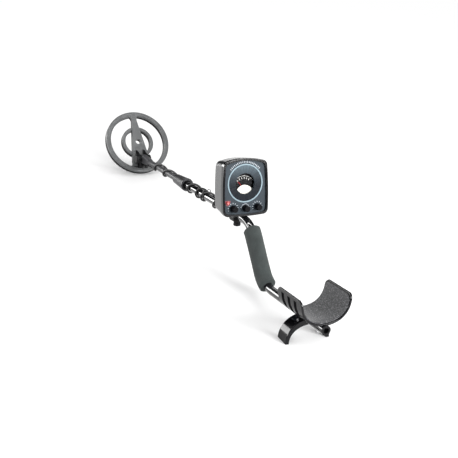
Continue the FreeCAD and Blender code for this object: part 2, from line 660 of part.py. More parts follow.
    screws = []
    for x, u in ((-43, 36), (43, 36), (-45, -61), (45, -61)):
        post = ring_shape(V(x, u, back + 1.0), Z, 4.2, 1.3, -back + seam - 1.0)
        post = post.common(outer)
        housing = housing.fuse(post)
        shank = rod_shape(V(x, u, back - 0.2), Z, 1.25, 14)
        head = rod_shape(V(x, u, back - 0.2), Z, 3.0, 1.8)
        screws.append(shank.fuse(head))
        housing = housing.cut(rod_shape(V(x, u, back - 5), Z, 3.1, 6.7))
        housing = housing.cut(rod_shape(V(x, u, back - 5), Z, 1.3, 25))
    shapes = {
        "box_housing": housing.removeSplitter(),
        "box_bezel": bezel,
        "control_panel": panel,
        "dial_ring": ring,
        "meter_case": case,
        "meter_lens": lens,
        "meter_face": dial,
        "meter_mask": mask,
        "meter_movement": movement,
        "meter_needle": needle,
        "indicator_lamp": led,
        "circuit_board": board,
        "speaker": speaker,
        "batteries": Part.makeCompound([cell, cell_l]),
        "battery_tray": tray,
        "battery_door": door,
        "headphone_jack": jack,
        "cable_socket": socket,
        "cable_plug": plug,
        "plug_ring": nut,
        "housing_screws": Part.makeCompound(screws),
    }
    shapes.update(controls)
    outer_box = outer.fuse(panel_prism(0, seam, front, CORNER))
    for shape in list(shapes.values()) + [outer_box]:
        shape.Placement = BOX_PLACE.multiply(shape.Placement)
    return shapes, outer_box


def make_clamp(outer_box):
    """The saddle that ties the box to the shaft, with its thumbscrew below."""
    y_low = THUMB_Y - 12
    y_high = THUMB_Y + 10
    under = SHAFT_Z - 14
    block = box_between(V(-16, y_low, under), V(16, y_high, SHAFT_Z + 26))
    block = softened(block, 8.0, lambda p, e: p.z < under + 0.1 and abs(abs(p.x) - 16) < 0.1)
    clamp = block.cut(outer_box).cut(rod_shape(V(0, y_low - 1, SHAFT_Z), Y, TUBE_R + 0.05, 40))
    clamp = max(clamp.Solids, key=lambda s: s.Volume)
    clamp = clamp.cut(rod_shape(V(0, THUMB_Y, SHAFT_Z - 30), Z, 3.05, 25))
    knob = rod_shape(V(0, THUMB_Y, SHAFT_Z - 25), Z, 8.6, 7.8)
    knob = softened(knob, 2.0, lambda p, e: e.Closed)
    for i in range(18):
        groove = rod_shape(V(9.2, THUMB_Y, SHAFT_Z - 29), Z, 1.1, 14)
        groove.rotate(V(0, THUMB_Y, 0), Z, i * 20)
        knob = knob.cut(groove)
    stem = rod_shape(V(0, THUMB_Y, SHAFT_Z - 17.5), Z, 3.0, 7.3)
    neck = rod_shape(V(0, THUMB_Y, SHAFT_Z - 17.1), Z, 4.6, 2.8)
    screws = []
    for x in (-12.6, 12.6):
        at = V(x, THUMB_Y - 1, SHAFT_Z)
        shank = rod_shape(at - Z * 9, Z, 1.3, 26)
        screws.append(shank.fuse(rod_shape(at - Z * 10.5, Z, 2.6, 1.8)))
        clamp = clamp.cut(rod_shape(at - Z * 20, Z, 2.7, 9.5))
    return clamp, fuse_all([knob, stem, neck]), screws


# ---- cable ----
def wrap_point(distance, angle, radius):
    """A point beside the shaft: angle is seen from behind, from +X towards +Z."""
    turn = math.radians(angle)
    return station(distance, radius * math.sin(turn), radius * math.cos(turn))


WRAP_ANGLE = 235.0       # where each turn comes round to the shaft's lower left
WRAP_STEP = 40           # degrees between a turn's points
WRAP_DWELL = 0.8         # how much a turn lingers along the shaft's upper right
WRAP_LAG = 20.0
ROD_WRAP_R = (ROD_R + CABLE_R + GAP) / 0.94
TUBE_WRAP_R = (TUBE_R + CABLE_R + GAP) / 0.94


def wrap_turn(first, last, radius, turned_to=360 - WRAP_STEP):
    """Points of one turn, quick across the front and slow along the upper right."""
    points = []
    for turned in range(0, turned_to + 1, WRAP_STEP):
        lag = math.sin(math.radians(turned - WRAP_LAG)) + math.sin(math.radians(WRAP_LAG))
        share = turned / 360 - WRAP_DWELL * lag / (2 * math.pi)
        points.append(wrap_point(first + (last - first) * share, WRAP_ANGLE - turned, radius))
    return points


def cable_routes(plug_inside, plug_end):
    """The cable's three stretches: coil lead, wraps on the rod, wraps on the tube."""
    under = -(ROD_R + CABLE_R + GAP)
    gland_end = COIL_PLACE.multVec(V(0, -84, 0))
    gland_top = COIL_PLACE.multVec(V(0, -84, 17))
    lead = [gland_end, gland_top, station(28, -17.0), station(64, under), station(98, under)]
    rod = [station(98, under), station(110, under)]
    rod += wrap_turn(124, 196, ROD_WRAP_R)
    rod += wrap_turn(196, 284, ROD_WRAP_R, 200)
    beside = -14.0
    pass_r = COLLAR_R + CABLE_R + 1.0
    rod += [wrap_point(254, beside, 15.5), wrap_point(265, beside, pass_r), wrap_point(276, beside, pass_r)]
    tube = [wrap_point(276, beside, pass_r), wrap_point(318, beside, pass_r)]
    tube += [wrap_point(357, beside - 3, pass_r), wrap_point(367, -50, 18.5), wrap_point(375, -88, 15.5)]
    tube += wrap_turn(381, 436, TUBE_WRAP_R)
    tube += wrap_turn(436, 468, TUBE_WRAP_R)
    tube += wrap_turn(468, 537, TUBE_WRAP_R)
    tube += [wrap_point(537 + 6 * i, WRAP_ANGLE - WRAP_STEP * i, TUBE_WRAP_R) for i in (0, 1, 2)]
    outward = (plug_end - plug_inside).normalize()
    tube += [wrap_point(555, 115, 16.5), station(560, 27, -5), station(563, 44, -7), station(573, 61, -11)]
    tube += [plug_end + outward * 10, plug_inside]
    return lead, rod, tube


TIE_AT = 479.0
TIE_WIDTH = 2.6


def tie_bar(grow):
    """A bar round the tube and the cable that crosses it at the tie."""
    angle = 117.0
    slack = 1.9
    reach = TUBE_WRAP_R * 0.95
    big = TUBE_R + 0.3 + grow
    small = CABLE_R + slack + grow
    spread = math.degrees(math.acos((big - small) / reach))
    centre = wrap_point(TIE_AT, angle, reach)
    corners = [wrap_point(TIE_AT, angle + spread, big), wrap_point(TIE_AT, angle - spread, big)]
    offsets = [wrap_point(0, angle + turn, small) - PIVOT for turn in (-spread, spread)]
    corners += [centre + offset for offset in offsets]
    middle = face_from_points(corners).extrude(Y * TIE_WIDTH)
    round_tube = rod_shape(station(TIE_AT), Y, big, TIE_WIDTH)
    round_cable = rod_shape(centre, Y, small, TIE_WIDTH)
    return fuse_all([round_tube, round_cable, middle])


def make_tie():
    """A cable tie with its tail turned over into a small standing loop."""
    band = tie_bar(1.1).cut(tie_bar(0))
    loop = ring_shape(wrap_point(TIE_AT, 68, 15.0), Y, 5.0, 4.0, TIE_WIDTH)
    return fuse_all([band, loop.cut(tie_bar(0.5))])


def main():
    shapes = make_handle()
    cuff, cuff_holes = make_cuff()
    floor_low = FOOT_Z - 60
    contact_r = 3.5
    coil_contact = COIL_PLACE.multVec(V(0, -COIL_R + contact_r, -COIL_H + contact_r))
    foot = V(0, sum(STAND_Y) / 2, FOOT_Z)
    reach = coil_contact - foot
    slope = math.degrees(math.atan2(reach.z, reach.y) - math.asin(contact_r / reach.Length))
    floor_block = Part.makeBox(300, 400, -floor_low + FOOT_Z, V(-150, -200, -60))
    floor_block.Placement = FreeCAD.Placement(foot, FreeCAD.Rotation(X, slope))
    stand, stand_hole = make_stand(floor_block)
    shapes.update(cuff)
    shapes.update(stand)
    shapes["handle_tube"] = shapes["handle_tube"].cut(Part.makeCompound([cuff_holes, stand_hole]))
    shapes.update(make_rod())
    shapes.update(make_lock())
    shapes.update(make_coil())
    shaft_cut = rod_shape(TOP_BEND, Y, TUBE_R + 0.4, 200)
    shaft_cut.Placement = BOX_PLACE.inverse().multiply(shaft_cut.Placement)
    box, outer_box = make_box(shaft_cut)
    shapes.update(box)
    clamp, thumbscrew, clamp_screws = make_clamp(outer_box)
    shapes["box_clamp"] = clamp.cut(Part.makeCompound(clamp_screws))
    shapes["clamp_screws"] = Part.makeCompound(clamp_screws)
    shapes["box_housing"] = shapes["box_housing"].cut(shapes["clamp_screws"])
    shapes["thumbscrew"] = thumbscrew

    plug_ends = [BOX_PLACE.multVec(SOCKET_AT - Z * depth) for depth in (31, 42)]
    lead, rod, tube = cable_routes(*plug_ends)
    for name, route in (("coil_lead", lead), ("rod_cable", rod), ("tube_cable", tube)):
        wire = rounded_route(route)
        shapes[name] = swept(wire, CABLE_R)
        expected = math.pi * CABLE_R ** 2 * wire.Length
        ratio = round(shapes[name].Volume / expected, 3)
        print(name, "length", round(wire.Length), "mm, volume ratio", ratio)
    shapes["cable_tie"] = make_tie()

    level = FreeCAD.Rotation(X, -slope)
    bounds = FreeCAD.BoundBox()
    for shape in shapes.values():
        shape.Placement = FreeCAD.Placement(V(0, 0, 0), level).multiply(shape.Placement)
        bounds.add(shape.optimalBoundingBox(False, False))
    home = FreeCAD.Placement(V(0, -(bounds.YMin + bounds.YMax) / 2, -bounds.ZMin), FreeCAD.Rotation())
    print("slope", round(slope, 3), "bounds", bounds)
    os.makedirs("parts", exist_ok=True)
    for name, shape in shapes.items():
        shape.Placement = home.multiply(shape.Placement)
        shape.exportStep("parts/" + name + ".step")
    return shapes, home.multiply(FreeCAD.Placement(V(0, 0, 0), level))


main()
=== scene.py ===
"""Looks of the metal detector: soft pieces, cable, panel printing and every material."""
import json
import math

import bmesh
import bpy
from mathutils import Matrix, Vector, noise


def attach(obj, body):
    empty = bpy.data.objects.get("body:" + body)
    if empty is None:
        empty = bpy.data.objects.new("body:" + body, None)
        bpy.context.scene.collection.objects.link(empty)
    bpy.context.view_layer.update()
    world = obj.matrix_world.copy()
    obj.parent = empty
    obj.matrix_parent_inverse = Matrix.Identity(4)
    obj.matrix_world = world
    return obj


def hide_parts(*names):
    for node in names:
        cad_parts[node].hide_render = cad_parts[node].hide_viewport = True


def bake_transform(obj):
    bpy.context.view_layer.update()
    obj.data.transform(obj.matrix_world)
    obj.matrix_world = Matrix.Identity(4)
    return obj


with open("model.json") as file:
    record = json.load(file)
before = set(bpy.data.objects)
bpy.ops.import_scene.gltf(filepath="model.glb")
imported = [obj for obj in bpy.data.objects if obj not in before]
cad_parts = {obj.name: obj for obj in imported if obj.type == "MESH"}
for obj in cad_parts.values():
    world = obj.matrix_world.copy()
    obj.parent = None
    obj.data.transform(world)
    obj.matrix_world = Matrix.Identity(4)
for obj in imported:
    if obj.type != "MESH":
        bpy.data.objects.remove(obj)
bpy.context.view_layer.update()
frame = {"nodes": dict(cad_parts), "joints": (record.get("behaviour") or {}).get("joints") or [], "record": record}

MM = 0.001
NODES = frame["nodes"]
JOINTS = {joint["name"]: joint for joint in frame["joints"]}
MOUNTS = {mount["name"]: mount for mount in frame["record"]["mounts"]}


def axis_of(joint):
    return Vector(JOINTS[joint]["axis"]).normalized()


def place_of(joint):
    return Vector(JOINTS[joint]["pos_m"])


# ---- the handle's frame: along the shaft, across it, and the coil pivot on its axis ----
RIGHT = Vector((1, 0, 0))
FORWARD = axis_of("rod_slide")
UPWARD = RIGHT.cross(FORWARD)
PIVOT = place_of("coil_tilt")

REAR_RUN = 237.0         # millimetres, as on the CAD model's tube
GRIP_RUN = 145.0
GRIP_ANGLE = 55.0
BEND_R = 60.0
PIVOT_RUN = 716.0
TUBE_R = 10.0
ROD_R = 8.45
FOAM_R = 19.2
FOAM_FROM = 20.5          # degrees round the lower bend where the foam starts
FOAM_TO = 38.0            # degrees left of the upper bend where it stops
CABLE_R = 2.6
COLLAR_R = 17.5
GAP = 0.3
GRIP_COS = math.cos(math.radians(GRIP_ANGLE))
GRIP_SIN = math.sin(math.radians(GRIP_ANGLE))
BEND_T = BEND_R * math.tan(math.radians(GRIP_ANGLE / 2))
SHAFT_Z = GRIP_RUN * GRIP_SIN
PIVOT_Y = REAR_RUN + GRIP_RUN * GRIP_COS + PIVOT_RUN
TUBE_REAR = PIVOT - FORWARD * PIVOT_Y * MM - UPWARD * SHAFT_Z * MM


def at(x, y, z):
    """A point given in millimetres to the right, forward and up from the tube's rear end."""
    return TUBE_REAR + (RIGHT * x + FORWARD * y + UPWARD * z) * MM


def station(distance, height=0.0, side=0.0):
    """A point beside the shaft, measured back from the coil pivot."""
    return at(side, PIVOT_Y - distance, SHAFT_Z + height)


# ---- the panel's frame ----
PANEL_OUT = axis_of("needle_swing")
PANEL_UP = PANEL_OUT.cross(RIGHT)
HUB_U = -13.0
PANEL_AT = place_of("needle_swing") - PANEL_UP * HUB_U * MM


def on_panel(x, u, height=0.0):
    """A point given in millimetres right and up from the dial's centre, and out of the panel."""
    return PANEL_AT + (RIGHT * x + PANEL_UP * u + PANEL_OUT * height) * MM


# ---- mesh helpers ----
def new_object(name, mesh):
    piece = bpy.data.objects.new(name, mesh)
    bpy.context.scene.collection.objects.link(piece)
    return piece


def mesh_object(name, build, smooth_angle=40.0):
    """A mesh piece from build(bm), with consistent normals and smooth shading up to an angle."""
    bm = bmesh.new()
    build(bm)
    bmesh.ops.recalc_face_normals(bm, faces=bm.faces)
    mesh = bpy.data.meshes.new(name)
    bm.to_mesh(mesh)
    bm.free()
    mesh.shade_smooth()
    mesh.set_sharp_from_angle(angle=math.radians(smooth_angle))
    return new_object(name, mesh)


def loft(bm, rings):
    """Quads between rings of equally many points, and a fan over each end."""
    rows = [[bm.verts.new(p) for p in ring] for ring in rings]
    count = len(rows[0])
    for row, after in zip(rows, rows[1:]):
        for i in range(count):
            j = (i + 1) % count
            bm.faces.new((row[i], row[j], after[j], after[i]))
    for row in (rows[0], rows[-1]):
        centre = bm.verts.new(sum((v.co for v in row), Vector()) / count)
        for i in range(count):
            bm.faces.new((row[i], row[(i + 1) % count], centre))


def smooth_line(points):
    """Points along the NURBS spline that has the given points as its control points."""
    curve = bpy.data.curves.new("route", "CURVE")
    curve.dimensions = "3D"
    curve.resolution_u = 24
    spline = curve.splines.new("NURBS")
    spline.points.add(len(points) - 1)
    for slot, point in zip(spline.points, points):
        slot.co = (*point, 1.0)
    spline.order_u = 3
    spline.use_endpoint_u = True
    holder = new_object("route", curve)
    bpy.context.view_layer.update()
    mesh = bpy.data.meshes.new_from_object(holder)
    line = [v.co.copy() for v in mesh.vertices]
    bpy.data.objects.remove(holder)
    bpy.data.curves.remove(curve)
    bpy.data.meshes.remove(mesh)
    return line


def frames_along(line):
    """At each point, two directions across the line that don't twist from one to the next."""
    tangents = []
    for i, _ in enumerate(line):
        step = line[min(i + 1, len(line) - 1)] - line[max(i - 1, 0)]
        tangents.append(step.normalized())
    across = tangents[0].orthogonal().normalized()
    result = []
    for before, tangent in zip([tangents[0]] + tangents, tangents):
        across = before.rotation_difference(tangent) @ across
        across = (across - tangent * across.dot(tangent)).normalized()
        result.append((across, tangent.cross(across)))
    return result


def even_line(line, step):
    """The same line with its points about one step apart."""
    result = [line[0]]
    walked = 0.0
    for a, b in zip(line, line[1:]):
        walked += (b - a).length
        if walked >= step:
            result.append(b)
            walked = 0.0
    if (result[-1] - line[-1]).length > step / 4:
        result.append(line[-1])
    else:
        result[-1] = line[-1]
    return result


def tube_along(name, line, radius_at, sides):
    """A closed tube round a line. radius_at(share of length, angle) is in metres."""
    lengths = [0.0]
    for a, b in zip(line, line[1:]):
        lengths.append(lengths[-1] + (b - a).length)

    def build(bm):
        rings = []
        for point, travelled, (first, second) in zip(line, lengths, frames_along(line)):
            ring = []
            for i in range(sides):
                turn = 2 * math.pi * i / sides
                radius = radius_at(travelled, lengths[-1], turn)
                ring.append(point + (first * math.cos(turn) + second * math.sin(turn)) * radius)
            rings.append(ring)
        loft(bm, rings)

    return mesh_object(name, build, 60)


# ---- materials ----
class Look:
    """A Principled material whose variation comes from noise in the piece's own coordinates."""

    def __init__(self, name, colour, roughness, **settings):
        self.material = bpy.data.materials.new(name)
        self.material.use_nodes = True
        self.tree = self.material.node_tree
        self.shader = self.tree.nodes["Principled BSDF"]
        self.shader.inputs["Base Color"].default_value = (*colour, 1.0)
        self.shader.inputs["Roughness"].default_value = roughness
        for socket, value in settings.items():
            self.shader.inputs[socket.replace("_", " ")].default_value = value
        self.colour = colour
        self.place = self.tree.nodes.new("ShaderNodeTexCoord").outputs["Object"]
        self.normal = None

    def node(self, kind, settings=None, **inputs):
        made = self.tree.nodes.new("ShaderNode" + kind)
        for key, value in (settings or {}).items():
            setattr(made, key, value)
        for key, value in inputs.items():
            socket = made.inputs[key.replace("_", " ")]
            if isinstance(value, bpy.types.NodeSocket):
                self.tree.links.new(value, socket)
            else:
                socket.default_value = value
        return made

    def stretched(self, scale, rotation=(0, 0, 0)):
        """The piece's coordinates, turned and then scaled."""
        turned = self.node("Mapping", Vector=self.place, Rotation=rotation)
        return self.node("Mapping", Vector=turned.outputs[0], Scale=scale).outputs[0]

    def noise(self, scale, detail=3.0, rough=0.55, where=None):
        made = self.node("TexNoise", Vector=where or self.place,
                         Scale=scale, Detail=detail, Roughness=rough)
        return made.outputs["Fac"]

    def cells(self, scale, feature="F1"):
        made = self.node("TexVoronoi", {"feature": feature}, Vector=self.place, Scale=scale)
        return made.outputs["Distance"]

    def fit(self, value, from_low, from_high, to_low, to_high):
        made = self.node("MapRange", Value=value)
        ranges = ("From Min", "From Max", "To Min", "To Max")
        for key, number in zip(ranges, (from_low, from_high, to_low, to_high)):
            made.inputs[key].default_value = number
        return made.outputs[0]

    def maths(self, operation, a, b):
        made = self.node("Math", {"operation": operation})
        for socket, value in zip(made.inputs, (a, b)):
            if isinstance(value, bpy.types.NodeSocket):
                self.tree.links.new(value, socket)
            else:
                socket.default_value = value
        return made.outputs[0]

    def blend(self, share, first, second):
        """A colour between two, where each is a socket or an RGB tuple."""
        made = self.node("Mix", {"data_type": "RGBA"})
        self.tree.links.new(share, made.inputs["Factor"])
        for key, value in (("A", first), ("B", second)):
            socket = [s for s in made.inputs if s.name == key and s.type == "RGBA"][0]
            if isinstance(value, bpy.types.NodeSocket):
                self.tree.links.new(value, socket)
            else:
                socket.default_value = (*value, 1.0)
        return [s for s in made.outputs if s.type == "RGBA"][0]

    def paint(self, socket):
        self.tree.links.new(socket, self.shader.inputs["Base Color"])

    def polish(self, socket):
        self.tree.links.new(socket, self.shader.inputs["Roughness"])

    def bump(self, height, distance, strength=1.0):
        """Adds relief of the given depth in metres on top of what is already there."""
        made = self.node("Bump", Height=height, Distance=distance, Strength=strength)
        if self.normal is not None:
            self.tree.links.new(self.normal, made.inputs["Normal"])
        self.normal = made.outputs[0]
        self.tree.links.new(self.normal, self.shader.inputs["Normal"])

    def worn_edges(self, radius):
        """1 on sharp convex edges and 0 on flat faces."""
        soft = self.node("Bevel", {"samples": 4}, Radius=radius).outputs[0]
        flat = self.node("NewGeometry").outputs["Normal"]
        made = self.node("VectorMath", {"operation": "DOT_PRODUCT"})
        self.tree.links.new(soft, made.inputs[0])
        self.tree.links.new(flat, made.inputs[1])
        return self.fit(made.outputs["Value"], 0.995, 0.86, 0.0, 1.0)


def shade(colour, factor):
    return tuple(min(1.0, c * factor) for c in colour)


def plastic(name, colour, roughness, grain=0.00003, grain_scale=1500, edge=1.8,
            coat=0.0, shine=0.3):
    """Moulded plastic: fine pebble grain, faint mottling, lighter worn edges, light scratches."""
    look = Look(name, colour, roughness,
                Coat_Weight=coat, Coat_Roughness=0.08, Specular_IOR_Level=shine)
    mottle = look.fit(look.noise(22, 4), 0.3, 0.7, 0.0, 1.0)
    body = look.blend(mottle, shade(colour, 0.86), shade(colour, 1.16))
    fleck = look.fit(look.noise(2600, 2), 0.66, 0.8, 0.0, 0.35)
    body = look.blend(fleck, body, shade(colour, 1.7))
    edges = look.worn_edges(0.0009)
    patches = look.fit(look.noise(160, 3), 0.35, 0.65, 0.15, 0.9)
    wear = look.maths("MULTIPLY", edges, patches)
    look.paint(look.blend(wear, body, shade(colour, edge)))
    smear = look.noise(30, 5, 0.65)
    lines = look.noise(420, 2, 0.5, look.stretched((1, 0.06, 1), (0.5, 0.3, 0.9)))
    scratch = look.fit(lines, 0.62, 0.72, 0, 0.09)
    rough = look.fit(smear, 0.3, 0.7, roughness - 0.06, roughness + 0.08)
    look.polish(look.maths("ADD", rough, scratch))
    look.bump(look.noise(grain_scale, 2), grain)
    look.bump(look.noise(90, 2), 0.00006, 0.5)
    return look.material


def gloss(name, colour, roughness, peel, coat):
    """Polished plastic or paint: orange peel, fingerprints, hairline scratches and dust."""
    look = Look(name, colour, roughness,
                Coat_Weight=coat, Coat_Roughness=0.03, Specular_IOR_Level=0.15)
    dust = look.fit(look.noise(900, 3, 0.7), 0.64, 0.78, 0.0, 0.22)
    tone = look.fit(look.noise(18, 4), 0.3, 0.7, 0, 1)
    body = look.blend(tone, shade(colour, 0.8), shade(colour, 1.25))
    body = look.blend(dust, body, (0.05, 0.05, 0.05))
    edges = look.worn_edges(0.0007)
    patches = look.fit(look.noise(140, 3), 0.4, 0.62, 0.05, 0.6)
    wear = look.maths("MULTIPLY", edges, patches)
    look.paint(look.blend(wear, body, (0.07, 0.07, 0.072)))
    smear = look.fit(look.noise(26, 6, 0.7), 0.35, 0.7, roughness * 0.6, roughness * 2.2)
    lines = look.noise(700, 1, 0.4, look.stretched((1, 0.03, 1), (0.4, 0.9, 0.2)))
    hairs = look.fit(lines, 0.66, 0.74, 0, 0.12)
    look.polish(look.maths("ADD", smear, hairs))
    look.bump(look.noise(210, 2), peel, 0.6)
    look.bump(look.noise(1400, 2), peel / 8, 0.5)
    return look.material


def metal(name, colour, roughness):
    """Plated or drawn metal with fine marks and a slightly uneven tone."""
    look = Look(name, colour, roughness, Metallic=1.0)
    tone = look.fit(look.noise(120, 4), 0.3, 0.7, 0, 1)
    look.paint(look.blend(tone, shade(colour, 0.78), shade(colour, 1.08)))
    marks = look.noise(900, 3, 0.6)
    look.polish(look.fit(marks, 0.3, 0.7, roughness * 0.7, roughness * 1.5))
    look.bump(marks, 0.00002, 0.6)
    return look.material


def rubber(name, colour, roughness=0.6, sheen=0.15):
    """Soft black rubber or cable jacket, with a dull bloom and a fine skin."""
    look = Look(name, colour, roughness,
                Sheen_Weight=sheen, Sheen_Roughness=0.5, Specular_IOR_Level=0.3)
    bloom = look.fit(look.noise(60, 5, 0.6), 0.35, 0.7, 0, 1)
    look.paint(look.blend(bloom, shade(colour, 0.75), shade(colour, 1.5)))
    look.polish(look.fit(look.noise(240, 3), 0.3, 0.7, roughness - 0.1, roughness + 0.1))
    look.bump(look.noise(1900, 2), 0.00003, 0.7)
    look.bump(look.noise(260, 2), 0.00005, 0.4)
    return look.material


def foam_material():
    """Closed-cell foam: open pores at the skin, their pits darkened as painted shade, soft dusty bloom."""
    colour = (0.036, 0.043, 0.042)
    look = Look("foam_look", colour, 0.92,
                Sheen_Weight=0.08, Sheen_Roughness=0.6, Specular_IOR_Level=0.15)
    pore_pits_and_shade = look.fit(look.cells(1050), 0.05, 0.42, 0.0, 1.0)
    bloom = look.fit(look.noise(34, 5, 0.6), 0.3, 0.72, 0, 1)
    body = look.blend(bloom, shade(colour, 0.8), shade(colour, 1.3))
    # Painted shade: the pores' pits are darkened to 0.55 of the foam's colour.
    look.paint(look.blend(pore_pits_and_shade, shade(colour, 0.55), body))
    look.bump(pore_pits_and_shade, 0.00012, 0.8)
    look.bump(look.noise(420, 4, 0.65), 0.00022, 0.6)
    return look.material


def lining_material():
    """Speckled pad: dark ground, pale flecks, a pebbled skin."""
    colour = (0.034, 0.035, 0.038)
    look = Look("lining_look", colour, 0.8,
                Sheen_Weight=0.2, Sheen_Roughness=0.5, Specular_IOR_Level=0.35)
    tone = look.fit(look.noise(40, 4), 0.3, 0.7, 0, 1)
    ground = look.blend(tone, shade(colour, 0.75), shade(colour, 1.25))
    fleck = look.fit(look.noise(520, 3, 0.7), 0.54, 0.65, 0.0, 1.0)
    dark = look.fit(look.noise(430, 2, 0.6), 0.46, 0.36, 0.0, 0.9)
    body = look.blend(fleck, ground, (0.27, 0.27, 0.28))
    look.paint(look.blend(dark, body, (0.012, 0.012, 0.014)))
    look.bump(look.fit(look.cells(620, "SMOOTH_F1"), 0.0, 0.6, 1.0, 0.0), 0.0003, 0.8)
    look.bump(look.noise(1500, 2), 0.00008, 0.6)
    return look.material


def glass_material(name, tint, alpha):
    """A clear lens: nearly see-through, with a polished face."""
    look = Look(name, tint, 0.03, Alpha=alpha, Coat_Weight=1.0, Coat_Roughness=0.02, IOR=1.6)
    look.polish(look.fit(look.noise(120, 4), 0.3, 0.7, 0.02, 0.06))
    look.bump(look.noise(60, 1), 0.00002, 0.2)
    return look.material


def lamp_material():
    look = Look("lamp_look", (0.8, 0.02, 0.02), 0.12, Coat_Weight=1.0, Emission_Strength=0.08)
    look.shader.inputs["Emission Color"].default_value = (1.0, 0.12, 0.1, 1.0)
    glow = look.fit(look.noise(300, 2), 0.3, 0.7, 0, 1)
    look.paint(look.blend(glow, (0.42, 0.06, 0.06), (0.55, 0.13, 0.13)))
    return look.material


def board_material():
    """Circuit board: green mask with pale copper tracks below it and silver pads."""
    look = Look("board_look", (0.02, 0.12, 0.05), 0.35, Coat_Weight=0.6)
    tracks = look.fit(look.cells(260, "DISTANCE_TO_EDGE"), 0.02, 0.08, 1.0, 0.0)
    pads = look.fit(look.cells(180), 0.12, 0.16, 1.0, 0.0)
    body = look.blend(tracks, (0.015, 0.1, 0.04), (0.05, 0.22, 0.09))
    look.paint(look.blend(pads, body, (0.5, 0.5, 0.48)))
    look.bump(tracks, 0.00004, 0.6)
    return look.material


def winding_material():
    """Enamelled copper: fine parallel turns round the coil."""
    look = Look("winding_look", (0.55, 0.22, 0.09), 0.3, Metallic=0.9, Coat_Weight=0.4)
    lines = look.noise(1800, 2)
    look.paint(look.blend(lines, (0.42, 0.15, 0.05), (0.72, 0.33, 0.15)))
    look.bump(lines, 0.0001, 0.8)
    return look.material


def battery_material():
    look = Look("battery_look", (0.05, 0.05, 0.06), 0.3, Metallic=0.5, Coat_Weight=0.5)
    band = look.fit(look.noise(26, 1, 0.5, look.stretched((1, 0, 0))), 0.48, 0.52, 0, 1)
    look.paint(look.blend(band, (0.03, 0.03, 0.035), (0.45, 0.3, 0.1)))
    look.bump(look.noise(700, 2), 0.00002, 0.5)
    return look.material


def dial_material():
    """The dark plate in the dial ring, with faint streaks from its centre. Its bluish top is painted reflection:
    glare painted into the colour, lighter towards the top.
    """
    look = Look("dial_plate_painted_glare_look", (0.012, 0.017, 0.024), 0.2,
                Coat_Weight=0.2, Coat_Roughness=0.06)
    look.shader.inputs["Specular IOR Level"].default_value = 0.1
    local = look.node("Mapping", Vector=look.place, Location=tuple(-PANEL_AT)).outputs[0]
    spread = look.node("VectorMath", {"operation": "NORMALIZE"})
    look.tree.links.new(local, spread.inputs[0])
    streak = look.noise(22, 3, 0.6, spread.outputs[0])
    # Painted reflection: the colour goes from near black low on the plate to a bluish glare at its top.
    rise = look.node("VectorMath", {"operation": "DOT_PRODUCT"})
    look.tree.links.new(local, rise.inputs[0])
    rise.inputs[1].default_value = tuple(PANEL_UP)
    height = look.fit(rise.outputs["Value"], -0.012, 0.040, 0.0, 1.0)
    height = look.maths("MULTIPLY", height, height)
    body = look.blend(height, (0.008, 0.011, 0.015), (0.095, 0.130, 0.155))
    look.paint(look.blend(look.fit(streak, 0.42, 0.7, 0, 0.65), body, (0.004, 0.006, 0.009)))
    look.polish(look.fit(streak, 0.3, 0.7, 0.16, 0.34))
    look.bump(streak, 0.00003, 0.5)
    return look.material


def print_material(name, colour, glow=0.0):
    """Screen-printed ink: slightly uneven and matte. A glow, where given, is painted light: emission that keeps a
    pale card bright in the shade of its recess.
    """
    look = Look(name, colour, 0.55, Specular_IOR_Level=0.15, Emission_Strength=glow)
    look.shader.inputs["Emission Color"].default_value = (*colour, 1.0)
    tone = look.fit(look.noise(900, 3), 0.3, 0.7, 0, 1)
    look.paint(look.blend(tone, shade(colour, 0.85), colour))
    look.bump(look.noise(1800, 2), 0.00002, 0.5)
    return look.material


def panel_material():
    """The dark slate panel: a fine hammered grain."""
    colour = (0.034, 0.044, 0.054)
    look = Look("panel_look", colour, 0.5, Specular_IOR_Level=0.12)
    tone = look.fit(look.noise(24, 4), 0.3, 0.7, 0, 1)
    body = look.blend(tone, shade(colour, 0.88), shade(colour, 1.12))
    grain = look.noise(1300, 3)
    look.paint(look.blend(look.fit(grain, 0.55, 0.75, 0, 0.4), body, shade(colour, 1.7)))
    look.bump(grain, 0.00005, 0.8)
    return look.material


